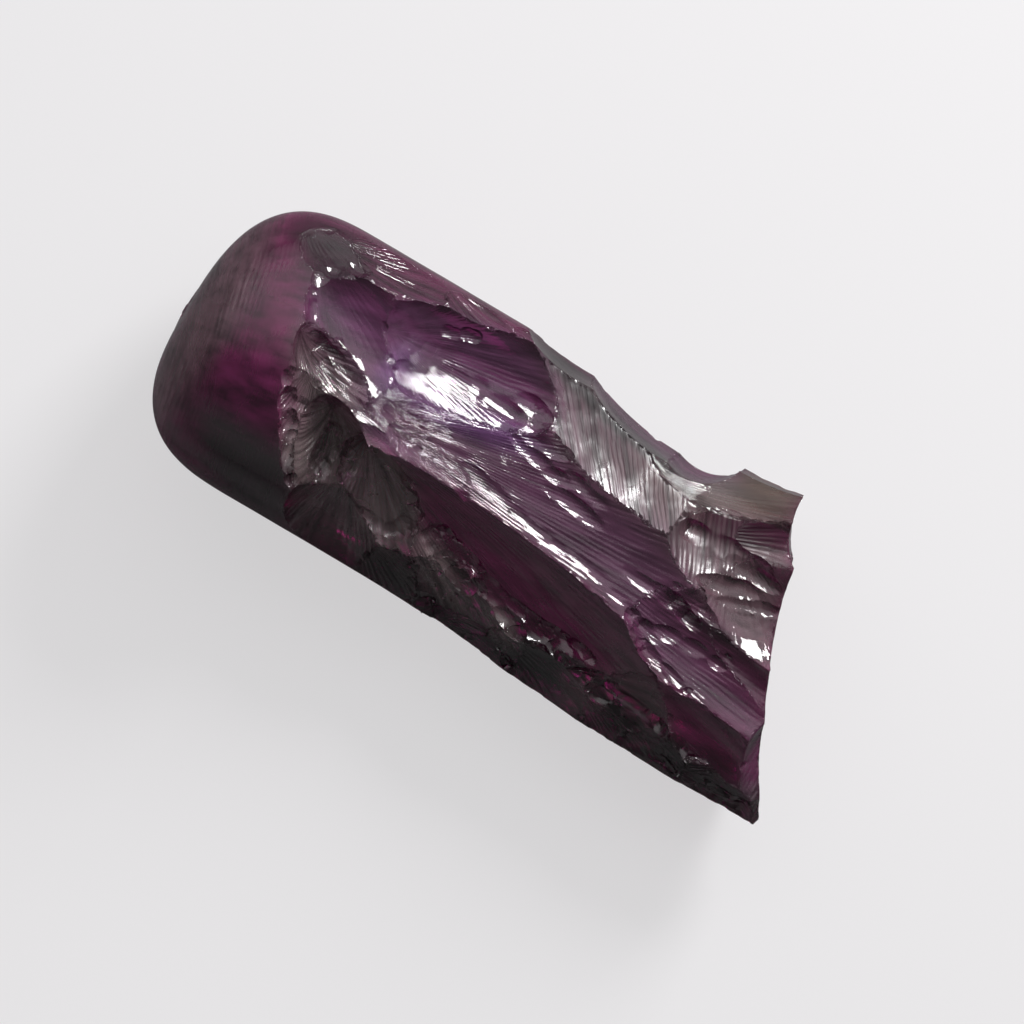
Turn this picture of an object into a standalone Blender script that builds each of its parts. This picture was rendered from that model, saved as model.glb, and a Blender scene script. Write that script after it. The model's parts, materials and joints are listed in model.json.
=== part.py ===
"""Rough purple gem crystal: one broken length of a rounded, glassy rod.

The rounded end points to -X, the broken end to +X, and the stone lies on a flat
parting face at z = 0 with its fractured face up. The origin is under the middle of
the stone, on that face. All sizes in this file are millimetres; MM turns them to metres.

The stone starts as a whole rod. Each break is a difference with a large ellipsoid, which
leaves the shallow, shell-shaped hollow of a glassy fracture, and two neighbouring hollows
meet in a sharp ridge.
"""

import math
from typing import NamedTuple

import bmesh
import bpy
from mathutils import Matrix, Vector

MM = 0.001

# The rod that the stone broke from, with its skin left on the rounded end and the sides
LENGTH = 46.0
HALF_WIDTH = 9.8
HALF_HEIGHT = 7.7
AXIS_HEIGHT = 6.5
NOSE_LENGTH_IN_PLAN = 8.0
NOSE_POWER_IN_PLAN = 2.85
NOSE_LENGTH_FROM_THE_SIDE = 11.0
NOSE_POWER_FROM_THE_SIDE = 2.0
SPARE_LENGTH = 4.0
CENTRING_SHIFT = -0.24
WORN_SIDE = 1.2
WORN_FROM = -6.0
WORN_TO = 15.0
ROD_SEGMENTS = 52
ROD_RINGS = 30


# How finely a scoop's ellipsoid is divided, from the widest scoops to the narrowest
SUBDIVISIONS_BY_REACH = ((12.0, 5), (4.5, 4), (0.0, 3))
CUTTER_DEPTH = 20.0

PURPLE = (0.045, 0.012, 0.045, 1.0)
POLISH = 0.08


class Scoop(NamedTuple):
    """A shell-shaped break, cut by an ellipsoid that touches its deepest point.

    floor is that deepest point. reach holds the ellipsoid's half length, half width and
    half height, and yaw turns its length in plan. The floor leans over by lean degrees,
    so that it faces towards the bearing, an angle in plan from +X towards +Y.
    """

    name: str
    floor: tuple
    reach: tuple
    yaw: float = 0.0
    lean: float = 0.0
    bearing: float = 90.0


# Breaks that shape the whole upper face, each several millimetres wide
MAIN_BREAKS = (
    Scoop("shoulder_facet", (-13.9, 4.5, 11.3), (9.0, 4.2, 4.5), yaw=-32.0, lean=15.0, bearing=48.0),
    Scoop("bowl", (-3.4, 6.0, 8.9), (9.4, 4.8, 4.6), yaw=8.0, lean=10.0, bearing=100.0),
    Scoop("bright_trough", (6.9, -0.4, 9.8), (26.0, 9.4, 8.0), yaw=-11.0, lean=11.0, bearing=82.0),
    Scoop("dark_groove", (17.0, -1.2, 8.5), (9.0, 2.6, 4.4), yaw=-14.0, lean=12.0, bearing=-80.0),
    Scoop("low_bright_trough", (17.1, -3.5, 8.6), (10.0, 3.0, 5.0), yaw=-16.0, lean=12.0, bearing=80.0),
    Scoop("wine_hollow", (5.4, -5.2, 8.4), (18.5, 7.6, 7.0), yaw=-12.0, lean=18.0, bearing=-92.0),
    Scoop("wine_hollow_end", (19.0, -7.0, 7.5), (8.5, 3.2, 4.0), yaw=-16.0, lean=14.0, bearing=-80.0),
    Scoop("combed_slope", (7.0, 5.5, 8.5), (17.0, 12.0, 8.0), yaw=-8.0, lean=24.0, bearing=85.0),
    Scoop("end_shell", (16.0, 2.1, 7.8), (6.2, 4.6, 4.4), yaw=-20.0, lean=14.0, bearing=20.0),
    Scoop("upper_side", (-12.9, 9.6, 8.4), (13.0, 9.0, 6.0), yaw=-4.0, lean=48.0, bearing=92.0),
    Scoop("flank", (5.2, 7.6, 4.2), (6.0, 10.0, 2.4), yaw=-9.0, lean=80.0, bearing=80.0),
    Scoop("broken_end", (19.05, -1.0, 4.5), (22.0, 21.0, 11.0), lean=92.0, bearing=21.5),
    Scoop("lower_side", (5.8, -8.3, 7.0), (23.0, 9.0, 7.0), yaw=-4.5, lean=46.0, bearing=-93.0),
)

# Chips along the ridges and rims, each a few millimetres wide
CHIPS = (
    Scoop("crest_cap", (-7.4, 0.4, 12.2), (8.6, 8.5, 6.0), lean=3.0, bearing=0.0),
    Scoop("white_patch", (-13.1, 0.9, 12.0), (3.8, 2.6, 2.4), yaw=-17.0, lean=27.0, bearing=75.0),
    Scoop("skin_edge_lower", (-11.9, -3.2, 12.0), (6.0, 1.7, 1.7), yaw=-64.0, lean=12.0, bearing=-140.0),
    Scoop("upper_corner", (-17.1, 7.7, 10.0), (4.8, 3.4, 2.6), yaw=-30.0, lean=30.0, bearing=100.0),
    Scoop("valley_by_nub", (8.7, 7.0, 4.2), (2.8, 8.0, 2.6), yaw=-8.0, lean=80.0, bearing=86.0),
    Scoop("nub_side", (13.6, 9.0, 5.0), (9.0, 9.0, 5.0), yaw=8.0, lean=84.0, bearing=98.0),
    Scoop("flank_start", (-0.9, 9.1, 5.0), (5.0, 9.0, 2.4), yaw=-6.0, lean=78.0, bearing=83.0),
    Scoop("nub_face", (13.6, 7.7, 7.45), (5.5, 4.5, 5.0), yaw=20.0, lean=38.0, bearing=112.0),
    Scoop("comb_end", (13.6, 3.9, 8.2), (6.0, 4.6, 5.4), yaw=-22.0, lean=9.0, bearing=120.0),
    Scoop("nub_step", (15.7, 6.0, 7.9), (7.0, 2.2, 3.0), yaw=22.0, lean=6.0, bearing=-60.0),
    Scoop("tip_facet", (21.6, -7.0, 7.0), (5.5, 2.6, 3.0), yaw=90.0, lean=32.0, bearing=10.0),
    Scoop("tip_chip", (23.2, -9.0, 5.6), (2.6, 2.6, 1.6), yaw=90.0, lean=46.0, bearing=-30.0),
    Scoop("tip_corner", (23.4, -9.25, 4.0), (6.0, 2.4, 1.8), yaw=-20.0, lean=88.0, bearing=-20.0),
    Scoop("lens_chip", (-6.2, -3.8, 8.9), (4.8, 2.2, 2.0), yaw=-46.0, lean=22.0, bearing=-110.0),
    Scoop("corner_chip", (-7.7, -6.0, 8.2), (5.2, 3.6, 4.0), yaw=-70.0, lean=40.0, bearing=-96.0),
    Scoop("spine_flank", (-8.6, -4.0, 10.3), (5.6, 2.4, 2.8), yaw=-52.0, lean=26.0, bearing=-146.0),
    Scoop("foot_of_lens", (-3.7, -7.3, 7.6), (5.2, 4.4, 3.0), yaw=-30.0, lean=46.0, bearing=-88.0),
    Scoop("rim_hollow_1", (-0.9, -6.9, 7.5), (5.6, 4.2, 3.0), yaw=-40.0, lean=38.0, bearing=-72.0),
    Scoop("rim_hollow_2", (2.7, -7.9, 6.6), (4.4, 4.2, 2.6), yaw=10.0, lean=58.0, bearing=-104.0),
    Scoop("rim_hollow_3", (6.7, -7.7, 7.1), (5.6, 4.2, 2.8), yaw=-20.0, lean=48.0, bearing=-82.0),
    Scoop("grey_facet", (10.2, -8.3, 7.2), (5.6, 5.4, 2.0), yaw=-10.0, lean=32.0, bearing=-62.0),
    Scoop("rim_hollow_4", (14.8, -8.4, 6.8), (6.4, 4.2, 3.0), yaw=-14.0, lean=48.0, bearing=-100.0),
    Scoop("rim_hollow_5", (19.7, -9.1, 6.3), (6.0, 3.8, 2.6), yaw=-4.0, lean=52.0, bearing=-82.0),
    Scoop("upper_rim_chip", (-8.2, 9.4, 8.6), (4.8, 3.2, 3.2), yaw=-12.0, lean=40.0, bearing=80.0),
    Scoop("end_hollow", (16.2, 6.8, 5.0), (12.0, 3.6, 2.4), yaw=26.0, lean=90.0, bearing=26.0),
    Scoop("end_ledge", (19.4, -3.2, 3.0), (7.0, 5.0, 3.4), yaw=100.0, lean=96.0, bearing=14.0),
    Scoop("under_chip_nose", (-18.4, -2.0, 0.9), (7.0, 6.0, 3.4), yaw=70.0, lean=142.0, bearing=186.0),
    Scoop("under_chip_front", (-6.0, -6.6, 1.6), (6.0, 4.6, 2.8), yaw=6.0, lean=124.0, bearing=-94.0),
    Scoop("under_chip_back", (-9.0, 6.9, 1.5), (7.0, 4.6, 2.8), yaw=-6.0, lean=122.0, bearing=86.0),
    Scoop("under_chip_end", (14.6, -6.5, 1.1), (5.0, 4.6, 2.4), yaw=-20.0, lean=128.0, bearing=-84.0),
)


def clear_scene():
    for obj in list(bpy.data.objects):
        bpy.data.objects.remove(obj, do_unlink=True)


def new_collection(name):
    collection = bpy.data.collections.new(name)
    bpy.context.scene.collection.children.link(collection)
    return collection


def crystal_material():
    material = bpy.data.materials.new("dark_purple_crystal")
    material.use_nodes = True
    shader = material.node_tree.nodes["Principled BSDF"]
    shader.inputs["Base Color"].default_value = PURPLE
    shader.inputs["Roughness"].default_value = POLISH
    shader.inputs["Metallic"].default_value = 0.0
    shader.inputs["IOR"].default_value = 1.75
    return material


def object_from(mesh_builder, name, collection):
    """Makes an object from a bmesh in millimetres, centred so that the broken stone is."""
    bmesh.ops.scale(mesh_builder, vec=(MM, MM, MM), verts=mesh_builder.verts)
    bmesh.ops.recalc_face_normals(mesh_builder, faces=mesh_builder.faces)
    mesh = bpy.data.meshes.new(name)
    mesh_builder.to_mesh(mesh)
    mesh_builder.free()
    obj = bpy.data.objects.new(name, mesh)
    obj.location.x = CENTRING_SHIFT * MM
    collection.objects.link(obj)
    return obj


def rounding(distance, nose_length, power):
    """How wide the nose is, from 0 at its tip to 1, at a distance behind the tip."""
    ahead = max(0.0, 1.0 - distance / nose_length)
    return (1.0 - ahead**power) ** (1.0 / power)


def worn_share(x):
    """0 on the full rod to 1 where its -Y side is worn narrowest."""
    along = min(1.0, max(0.0, (WORN_TO - x) / (WORN_TO - WORN_FROM)))
    return along * along * (3.0 - 2.0 * along)


def rod_point(direction):
    """The point of the rod's skin for a unit direction whose Z runs along the rod."""
    distance = (1.0 - direction.z) / 2.0 * (LENGTH + SPARE_LENGTH)
    x = distance - LENGTH / 2.0
    around = math.atan2(direction.y, direction.x)
    pole = math.hypot(direction.x, direction.y) < 1e-6
    plan = rounding(distance, NOSE_LENGTH_IN_PLAN, NOSE_POWER_IN_PLAN)
    side = rounding(distance, NOSE_LENGTH_FROM_THE_SIDE, NOSE_POWER_FROM_THE_SIDE)
    half_width = 0.0 if pole else HALF_WIDTH * plan
    half_height = 0.0 if pole else HALF_HEIGHT * side
    y = half_width * math.cos(around)
    if y < 0.0:
        y *= 1.0 - WORN_SIDE / HALF_WIDTH * worn_share(x)
    return Vector((x, y, AXIS_HEIGHT + half_height * math.sin(around)))


def build_rod(collection):
    """The whole rod, before anything broke off it: a ball drawn out along X."""
    builder = bmesh.new()
    bmesh.ops.create_uvsphere(builder, u_segments=ROD_SEGMENTS, v_segments=ROD_RINGS, radius=1.0)
    for vert in builder.verts:
        vert.co = rod_point(vert.co.copy())
    return object_from(builder, "crystal", collection)


def scoop_matrix(scoop):
    """Places a unit ball so that it touches the scoop's floor from above."""
    bearing = math.radians(scoop.bearing)
    hinge = Vector((-math.sin(bearing), math.cos(bearing), 0.0))
    tip = Matrix.Rotation(math.radians(scoop.lean), 3, hinge)
    turn = Matrix.Rotation(math.radians(scoop.yaw), 3, "Z")
    centre = Vector(scoop.floor) + tip @ Vector((0.0, 0.0, scoop.reach[2]))
    axes = tip @ turn @ Matrix.Diagonal(scoop.reach)
    return Matrix.Translation(centre) @ axes.to_4x4()


def subdivisions_for(scoop):
    return next(count for reach, count in SUBDIVISIONS_BY_REACH if max(scoop.reach) > reach)


def build_cutter(scoop, collection):
    builder = bmesh.new()
    bmesh.ops.create_icosphere(
        builder, subdivisions=subdivisions_for(scoop), radius=1.0, matrix=scoop_matrix(scoop)
    )
    cutter = object_from(builder, "cut_" + scoop.name, collection)
    cutter.hide_render = True
    cutter.display_type = "WIRE"
    return cutter


def build_base_cutter(collection):
    """Takes the rod's underside off at z = 0, along the parting face it rests on."""
    builder = bmesh.new()
    block = Matrix.Diagonal((LENGTH * 2.0, LENGTH, CUTTER_DEPTH, 1.0))
    bmesh.ops.create_cube(builder, size=1.0, matrix=block)
    bmesh.ops.translate(builder, vec=(0.0, 0.0, -CUTTER_DEPTH / 2.0), verts=builder.verts)
    cutter = object_from(builder, "cut_parting_face", collection)
    cutter.hide_render = True
    cutter.display_type = "WIRE"
    return cutter


def cut(target, cutter):
    modifier = target.modifiers.new(cutter.name, "BOOLEAN")
    modifier.operation = "DIFFERENCE"
    modifier.solver = "EXACT"
    modifier.object = cutter


def main():
    clear_scene()
    parts = new_collection("rough_crystal")
    cutters = new_collection("cutters")
    crystal = build_rod(parts)
    crystal.data.materials.append(crystal_material())
    for scoop in MAIN_BREAKS + CHIPS:
        cut(crystal, build_cutter(scoop, cutters))
    cut(crystal, build_base_cutter(cutters))


main()
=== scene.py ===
"""Dresses a rough purple gem crystal: a broken, glassy rod with a fractured upper face.

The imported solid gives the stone's main breaks. This script copies it, makes its surface
fine, fits that surface to the same breaks as smooth curves, chips the ridges between
them, roughens each break the way it came apart, and gives it a see-through finish.
Lengths in the dataclasses are millimetres, and MM turns them to metres.
"""

import json
import logging
import math
from collections.abc import Iterator
from dataclasses import dataclass, field
from enum import Enum
from typing import Optional

import bpy
import numpy as np
from mathutils import Matrix, Vector

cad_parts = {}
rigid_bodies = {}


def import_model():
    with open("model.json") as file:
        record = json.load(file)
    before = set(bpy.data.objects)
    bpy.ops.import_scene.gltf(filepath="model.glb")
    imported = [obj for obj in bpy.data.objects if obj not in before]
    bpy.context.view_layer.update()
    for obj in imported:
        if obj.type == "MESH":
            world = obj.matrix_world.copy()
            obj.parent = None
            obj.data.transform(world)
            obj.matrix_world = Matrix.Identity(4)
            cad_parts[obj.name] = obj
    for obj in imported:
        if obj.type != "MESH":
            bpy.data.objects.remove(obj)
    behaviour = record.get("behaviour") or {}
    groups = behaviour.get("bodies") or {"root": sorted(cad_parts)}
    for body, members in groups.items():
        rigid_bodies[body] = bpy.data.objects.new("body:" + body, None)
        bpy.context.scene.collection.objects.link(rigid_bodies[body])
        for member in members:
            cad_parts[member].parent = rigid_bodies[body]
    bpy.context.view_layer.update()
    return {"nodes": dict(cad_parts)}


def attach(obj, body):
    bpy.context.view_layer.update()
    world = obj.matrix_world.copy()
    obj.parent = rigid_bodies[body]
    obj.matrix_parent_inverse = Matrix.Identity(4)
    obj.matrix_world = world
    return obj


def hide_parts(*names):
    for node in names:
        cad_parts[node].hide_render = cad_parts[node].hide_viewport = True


LOG = logging.getLogger("rough_crystal")
MM = 0.001
CENTRING_SHIFT = -0.24
SKIN_TURN = math.radians(13.5)
GLINT_BEARING = math.radians(80.0)
GLINT_LEAN = math.radians(31.0)
FAR = 9.0
Array = np.ndarray
Triple = tuple[float, float, float]
Socket = bpy.types.NodeSocket


def turned(points: Array, angle: float) -> tuple[Array, Array]:
    """How far points lie along a direction in plan, and to its left. The angle is in radians."""
    x, y = points[:, 0], points[:, 1]
    return x * math.cos(angle) + y * math.sin(angle), y * math.cos(angle) - x * math.sin(angle)


def facing(bearing: float, lean: float) -> Array:
    """The unit way that leans from straight up towards a bearing, both in radians."""
    out = math.sin(lean)
    return np.array([math.cos(bearing) * out, math.sin(bearing) * out, math.cos(lean)])


def rows_of(items: object, name: str, width: int = 3, kind: type = float) -> Array:
    """One value of a mesh's vertices, edges or faces as an array, one item a row."""
    values = np.empty(len(items) * width, kind)
    items.foreach_get(name, values)
    return values.reshape(-1, width)


def neighbour_middles(points: Array, ends: Array) -> Array:
    """The middle of each vertex's neighbours, from the vertex numbers of each edge."""
    joined = np.bincount(ends.ravel(), minlength=len(points))[:, None]
    total = np.zeros_like(points)
    np.add.at(total, ends[:, 0], points[ends[:, 1]])
    np.add.at(total, ends[:, 1], points[ends[:, 0]])
    return total / joined


@dataclass(frozen=True)
class Noise:
    """Smooth random values on a lattice, the same each run for one seed."""

    seed: int

    def _corner(self, cell: Array) -> Array:
        """Random values from 0 to 1 for whole-number cells."""
        mixed = cell[:, 0] * 374761393 + cell[:, 1] * 668265263 + cell[:, 2] * 1440662683
        mixed = (mixed + self.seed * 974634777) & 0xFFFFFFFF
        mixed = ((mixed ^ (mixed >> 13)) * 1274126177) & 0xFFFFFFFF
        mixed = ((mixed ^ (mixed >> 16)) * 2246822519) & 0xFFFFFFFF
        return (mixed ^ (mixed >> 15)) / 4294967295.0

    def at(self, points: Array, size: float) -> Array:
        """Noise at points.

        Args:
            points: places, one row each.
            size: the width of one lump.

        Returns:
            Values from -1 to 1.
        """
        scaled = points / size
        cell = np.floor(scaled).astype(np.int64)
        part = scaled - cell
        part = part * part * part * (part * (part * 6.0 - 15.0) + 10.0)
        total = np.zeros(len(points))
        for corner in range(8):
            step = np.array([corner & 1, (corner >> 1) & 1, corner >> 2])
            weight = np.prod(np.where(step == 1, part, 1.0 - part), axis=1)
            total += weight * self._corner(cell + step)
        return total * 2.0 - 1.0

    def rough(self, points: Array, size: float, octaves: int = 3) -> Array:
        """Noise with finer noise on it, from about -1 to 1."""
        total = np.zeros(len(points))
        weight = 1.0
        for octave in range(octaves):
            total += weight * Noise(self.seed + octave * 17).at(points, size / 2.0**octave)
            weight *= 0.5
        return total / 1.6


@dataclass(frozen=True)
class Grain:
    """The fine relief that one kind of break leaves. Depths and spacings are millimetres."""

    swell: float
    swell_size: float
    rib: float
    rib_spacing: float
    hackle: float
    hackle_spacing: float
    step: float
    step_width: float
    frost: float
    comb: float


class Fracture(Enum):
    """How a break came apart, from polished glass to a frosted, splintered surface."""

    GLASSY = Grain(0.06, 3.6, 0.008, 1.7, 0.016, 0.70, 0.000, 1.0, 0.00, 0.12)
    STEPPED = Grain(0.05, 3.2, 0.008, 1.7, 0.020, 0.50, 0.030, 1.7, 0.03, 0.22)
    RIPPLED = Grain(0.04, 2.6, 0.040, 0.55, 0.016, 0.50, 0.014, 1.1, 0.04, 0.18)
    COMBED = Grain(0.07, 2.2, 0.008, 1.20, 0.012, 0.40, 0.026, 1.1, 1.00, 0.60)
    STREAKED = Grain(0.06, 2.4, 0.008, 1.30, 0.036, 0.40, 0.050, 0.9, 0.12, 0.62)
    SPLINTERED = Grain(0.10, 1.9, 0.012, 1.10, 0.044, 0.60, 0.075, 1.1, 0.15, 0.45)
    FROSTED = Grain(0.05, 2.0, 0.010, 0.80, 0.026, 0.40, 0.020, 0.9, 0.62, 0.55)


class Tone(Enum):
    """The colour that light takes where it enters or leaves a surface. The dark tone mostly paints shade; the
    rose tone paints a sheen; the ruby and violet tones paint light showing through the stone.
    """

    WINE = (0.72, 0.08, 0.36)
    RUBY = (0.85, 0.10, 0.46)
    ROSE = (1.00, 0.62, 0.72)
    MAUVE = (0.60, 0.22, 0.46)
    PLUM = (0.68, 0.24, 0.56)
    VIOLET = (0.84, 0.34, 0.96)
    GRAPE = (0.30, 0.13, 0.21)
    SMOKE = (0.66, 0.38, 0.46)
    ASH = (1.00, 0.78, 0.78)
    BROWN = (0.40, 0.24, 0.17)
    DARK = (0.014, 0.009, 0.011)


GLASSY, STEPPED, RIPPLED, COMBED, STREAKED, SPLINTERED, FROSTED = Fracture
WINE, RUBY, ROSE, MAUVE, PLUM, VIOLET, GRAPE, SMOKE, ASH, BROWN, DARK = Tone


@dataclass(frozen=True)
class Shade:
    """A soft patch of another tone: an ellipse in plan, fading out at its edge and below a height. Many
    patches paint shade or light into the tint.
    """

    centre: tuple[float, float]
    half: tuple[float, float]
    turn: float
    tone: Tone
    strength: float = 0.9
    above: float = -9.0

    def share(self, points: Array) -> Array:
        """How much of the patch's tone points take, from 0 to 1."""
        along, aside = turned(points[:, :2] - np.array(self.centre), math.radians(self.turn))
        along, aside = along / self.half[0], aside / self.half[1]
        risen = np.clip((points[:, 2] - self.above) / 1.5, 0.0, 1.0)
        return self.strength * risen * np.exp(-((along**2 + aside**2) ** 2))


@dataclass(frozen=True)
class Break:
    """A shell-shaped break: the ellipsoid that the stone's surface follows there.

    floor is the deepest point. reach holds the half length, half width and half height,
    and yaw turns the length in plan. The floor leans by lean degrees towards the bearing.
    origin is where the crack started: ribs lie round it and splinter lines point away.
    """

    name: str
    floor: Triple
    reach: Triple
    yaw: float = 0.0
    lean: float = 0.0
    bearing: float = 90.0
    fracture: Fracture = GLASSY
    tone: Tone = WINE
    origin: Optional[Triple] = None
    nested_ribs: bool = False

    def axes(self) -> Array:
        """The ellipsoid's three directions, one a column."""
        bearing = math.radians(self.bearing)
        hinge = Vector((-math.sin(bearing), math.cos(bearing), 0.0))
        tip = Matrix.Rotation(math.radians(self.lean), 3, hinge)
        turn = Matrix.Rotation(math.radians(self.yaw), 3, "Z")
        return np.array(tip @ turn)

    def centre(self) -> Array:
        """The ellipsoid's centre."""
        return np.array(self.floor) + self.axes()[:, 2] * self.reach[2]

    def start(self) -> Array:
        """Where the crack started: the given origin, or the hollow's back end."""
        if self.origin is not None:
            return np.array(self.origin)
        return np.array(self.floor) - self.axes()[:, 0] * self.reach[0] * 0.9


def small_break(name: str, floor: Array, reach: Triple, bearing: float, lean: float, along: object,
                twist: float = 0.0) -> Break:
    """A chip or facet.

    Args:
        name: what it is called.
        floor: its deepest point.
        reach: its half length, half width and half height.
        bearing: the side that it leans towards, in radians.
        lean: how far it leans, in radians.
        along: the direction that its length follows.
        twist: degrees that its length turns off that direction.

    Returns:
        The small break.
    """
    hinge = Vector((-math.sin(bearing), math.cos(bearing), 0.0))
    level = Matrix.Rotation(lean, 3, hinge).transposed() @ Vector(along)
    yaw = math.degrees(math.atan2(level.y, level.x)) + twist
    return Break(name, tuple(floor), reach, yaw, math.degrees(lean), math.degrees(bearing))


JUNCTION = (-11.9, 0.1, 12.0)
SIDE_START = (-19.0, 8.0, 11.0)
COMB_START = (27.0, -29.0, 8.0)

# Name, floor, reach, yaw, lean, bearing, fracture, tone, origin and nested ribs of each break. The dark tone
# on the lower side, the foot of the lens and the rim hollows is painted shade along the lower rim.
BREAKS = tuple(Break(*row) for row in (
    ("shoulder_facet", (-13.9, 4.5, 11.3), (9.0, 4.2, 4.5), -32.0, 15.0, 48.0, GLASSY, PLUM, SIDE_START),
    ("bowl", (-3.4, 6.0, 8.9), (9.4, 4.8, 4.6), 8.0, 10.0, 100.0, RIPPLED, PLUM, None, True),
    ("bright_trough", (6.9, -0.4, 9.8), (26.0, 9.4, 8.0), -11.0, 11.0, 82.0, STEPPED, MAUVE, JUNCTION),
    ("dark_groove", (17.0, -1.2, 8.5), (9.0, 2.6, 4.4), -14.0, 12.0, -80.0, GLASSY, WINE, JUNCTION),
    ("low_bright_trough", (17.1, -3.5, 8.6), (10.0, 5.4, 5.0), -16.0, 9.0, 80.0, STEPPED, MAUVE, JUNCTION),
    ("wine_hollow", (5.4, -5.2, 8.4), (18.5, 7.6, 7.0), -12.0, 18.0, -92.0, STEPPED, WINE, JUNCTION),
    ("wine_hollow_end", (19.0, -7.0, 7.5), (8.5, 3.2, 4.0), -16.0, 14.0, -80.0, GLASSY, WINE, JUNCTION),
    ("combed_slope", (7.0, 5.5, 8.5), (17.0, 12.0, 8.0), -8.0, 24.0, 85.0, COMBED, SMOKE, COMB_START),
    ("end_shell", (16.0, 2.1, 7.8), (6.2, 4.6, 4.4), -20.0, 14.0, 20.0, RIPPLED, SMOKE, (13.9, 5.2, 8.5)),
    ("upper_side", (-12.9, 9.6, 8.4), (13.0, 9.0, 6.0), -4.0, 48.0, 92.0, STREAKED, GRAPE, SIDE_START),
    ("flank", (5.2, 7.6, 4.2), (6.0, 10.0, 2.4), -9.0, 80.0, 80.0, GLASSY, MAUVE),
    ("broken_end", (19.05, -1.0, 4.5),
     (22.0, 21.0, 11.0), 0.0, 92.0, 21.5, RIPPLED, WINE, (19.0, 6.0, 10.0)),
    # painted shade: the dark tone darkens the lower side
    ("lower_side", (5.8, -8.3, 7.0), (23.0, 9.0, 7.0), -4.5, 46.0, -93.0, SPLINTERED, DARK, JUNCTION),
    ("crest_cap", (-7.4, 0.4, 12.2), (8.6, 8.5, 6.0), 0.0, 3.0, 0.0, GLASSY, PLUM, JUNCTION),
    ("white_patch", (-13.1, 0.9, 12.0), (3.8, 2.6, 2.4), -17.0, 27.0, 75.0, STREAKED, SMOKE),
    ("skin_edge_lower", (-11.9, -3.2, 12.0), (6.0, 1.7, 1.7), -64.0, 12.0, -140.0, STREAKED, ASH),
    ("upper_corner", (-17.1, 7.7, 10.0), (4.8, 3.4, 2.6), -30.0, 37.0, 110.0, STEPPED, GRAPE),
    ("valley_by_nub", (8.7, 7.0, 4.2), (2.8, 8.0, 2.6), -8.0, 80.0, 86.0, GLASSY, MAUVE),
    ("nub_side", (13.6, 9.0, 5.0), (9.0, 9.0, 5.0), 8.0, 84.0, 98.0, GLASSY, BROWN),
    ("flank_start", (-0.9, 9.1, 5.0), (5.0, 9.0, 2.4), -6.0, 78.0, 83.0, GLASSY, DARK),
    ("nub_face", (13.6, 7.7, 7.58), (9.0, 8.0, 5.0), 20.0, 38.0, 118.0, STEPPED, BROWN),
    ("comb_end", (13.6, 3.9, 8.2), (6.0, 4.6, 5.4), -22.0, 9.0, 120.0, COMBED, SMOKE, COMB_START),
    ("nub_step", (15.7, 6.0, 7.9), (7.0, 2.2, 3.0), 22.0, 6.0, -60.0, COMBED, SMOKE),
    ("tip_facet", (21.6, -7.0, 7.0), (5.5, 2.6, 3.0), 90.0, 32.0, 10.0, FROSTED, MAUVE),
    ("tip_chip", (23.2, -9.0, 5.6), (2.6, 2.6, 1.6), 90.0, 46.0, -30.0, FROSTED, ASH),
    ("tip_corner", (23.4, -9.25, 4.0), (6.0, 2.4, 1.8), -20.0, 88.0, -20.0, GLASSY, SMOKE),
    ("lens_chip", (-6.2, -3.8, 8.9), (4.8, 2.2, 2.0), -46.0, 22.0, -110.0, FROSTED, ASH),
    ("corner_chip", (-7.7, -6.0, 8.2), (5.2, 3.6, 4.0), -70.0, 40.0, -96.0, STREAKED, SMOKE),
    ("spine_flank", (-8.6, -4.0, 10.3), (5.6, 2.4, 2.8), -52.0, 26.0, -146.0, STREAKED, ASH),
    # painted shade: the dark tone on the foot of the lens and on the lower rim hollows that take it
    ("foot_of_lens", (-3.7, -7.3, 7.6), (5.2, 4.4, 3.0), -30.0, 46.0, -88.0, STREAKED, DARK),
    ("rim_hollow_1", (-0.9, -6.9, 7.5), (5.6, 4.2, 3.0), -40.0, 38.0, -72.0, SPLINTERED, SMOKE),
    ("rim_hollow_2", (2.7, -7.9, 6.6), (4.4, 4.2, 2.6), 10.0, 58.0, -104.0, SPLINTERED, DARK),
    ("rim_hollow_3", (6.7, -7.7, 7.1), (5.6, 4.2, 2.8), -20.0, 48.0, -82.0, STEPPED, DARK),
    ("grey_facet", (10.2, -8.3, 7.2), (5.6, 5.4, 2.0), -10.0, 32.0, -62.0, FROSTED, SMOKE),
    ("rim_hollow_4", (14.8, -8.4, 6.8), (6.4, 4.2, 3.0), -14.0, 48.0, -100.0, SPLINTERED, DARK),
    ("rim_hollow_5", (19.7, -9.1, 6.3), (6.0, 3.8, 2.6), -4.0, 52.0, -82.0, SPLINTERED, DARK),
    ("upper_rim_chip", (-8.2, 9.4, 8.6), (4.8, 3.2, 3.2), -12.0, 40.0, 80.0, STREAKED, GRAPE),
    ("end_hollow", (16.2, 6.8, 5.0), (12.0, 3.6, 2.4), 26.0, 90.0, 26.0, RIPPLED),
    ("end_ledge", (19.4, -3.2, 3.0), (7.0, 5.0, 3.4), 100.0, 96.0, 14.0, RIPPLED),
    ("under_chip_nose", (-18.4, -2.0, 0.9), (7.0, 6.0, 3.4), 70.0, 142.0, 186.0, RIPPLED),
    ("under_chip_front", (-6.0, -6.6, 1.6), (6.0, 4.6, 2.8), 6.0, 124.0, -94.0, RIPPLED),
    ("under_chip_back", (-9.0, 6.9, 1.5), (7.0, 4.6, 2.8), -6.0, 122.0, 86.0, RIPPLED),
    ("under_chip_end", (14.6, -6.5, 1.1), (5.0, 4.6, 2.4), -20.0, 128.0, -84.0, RIPPLED),
))
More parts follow.
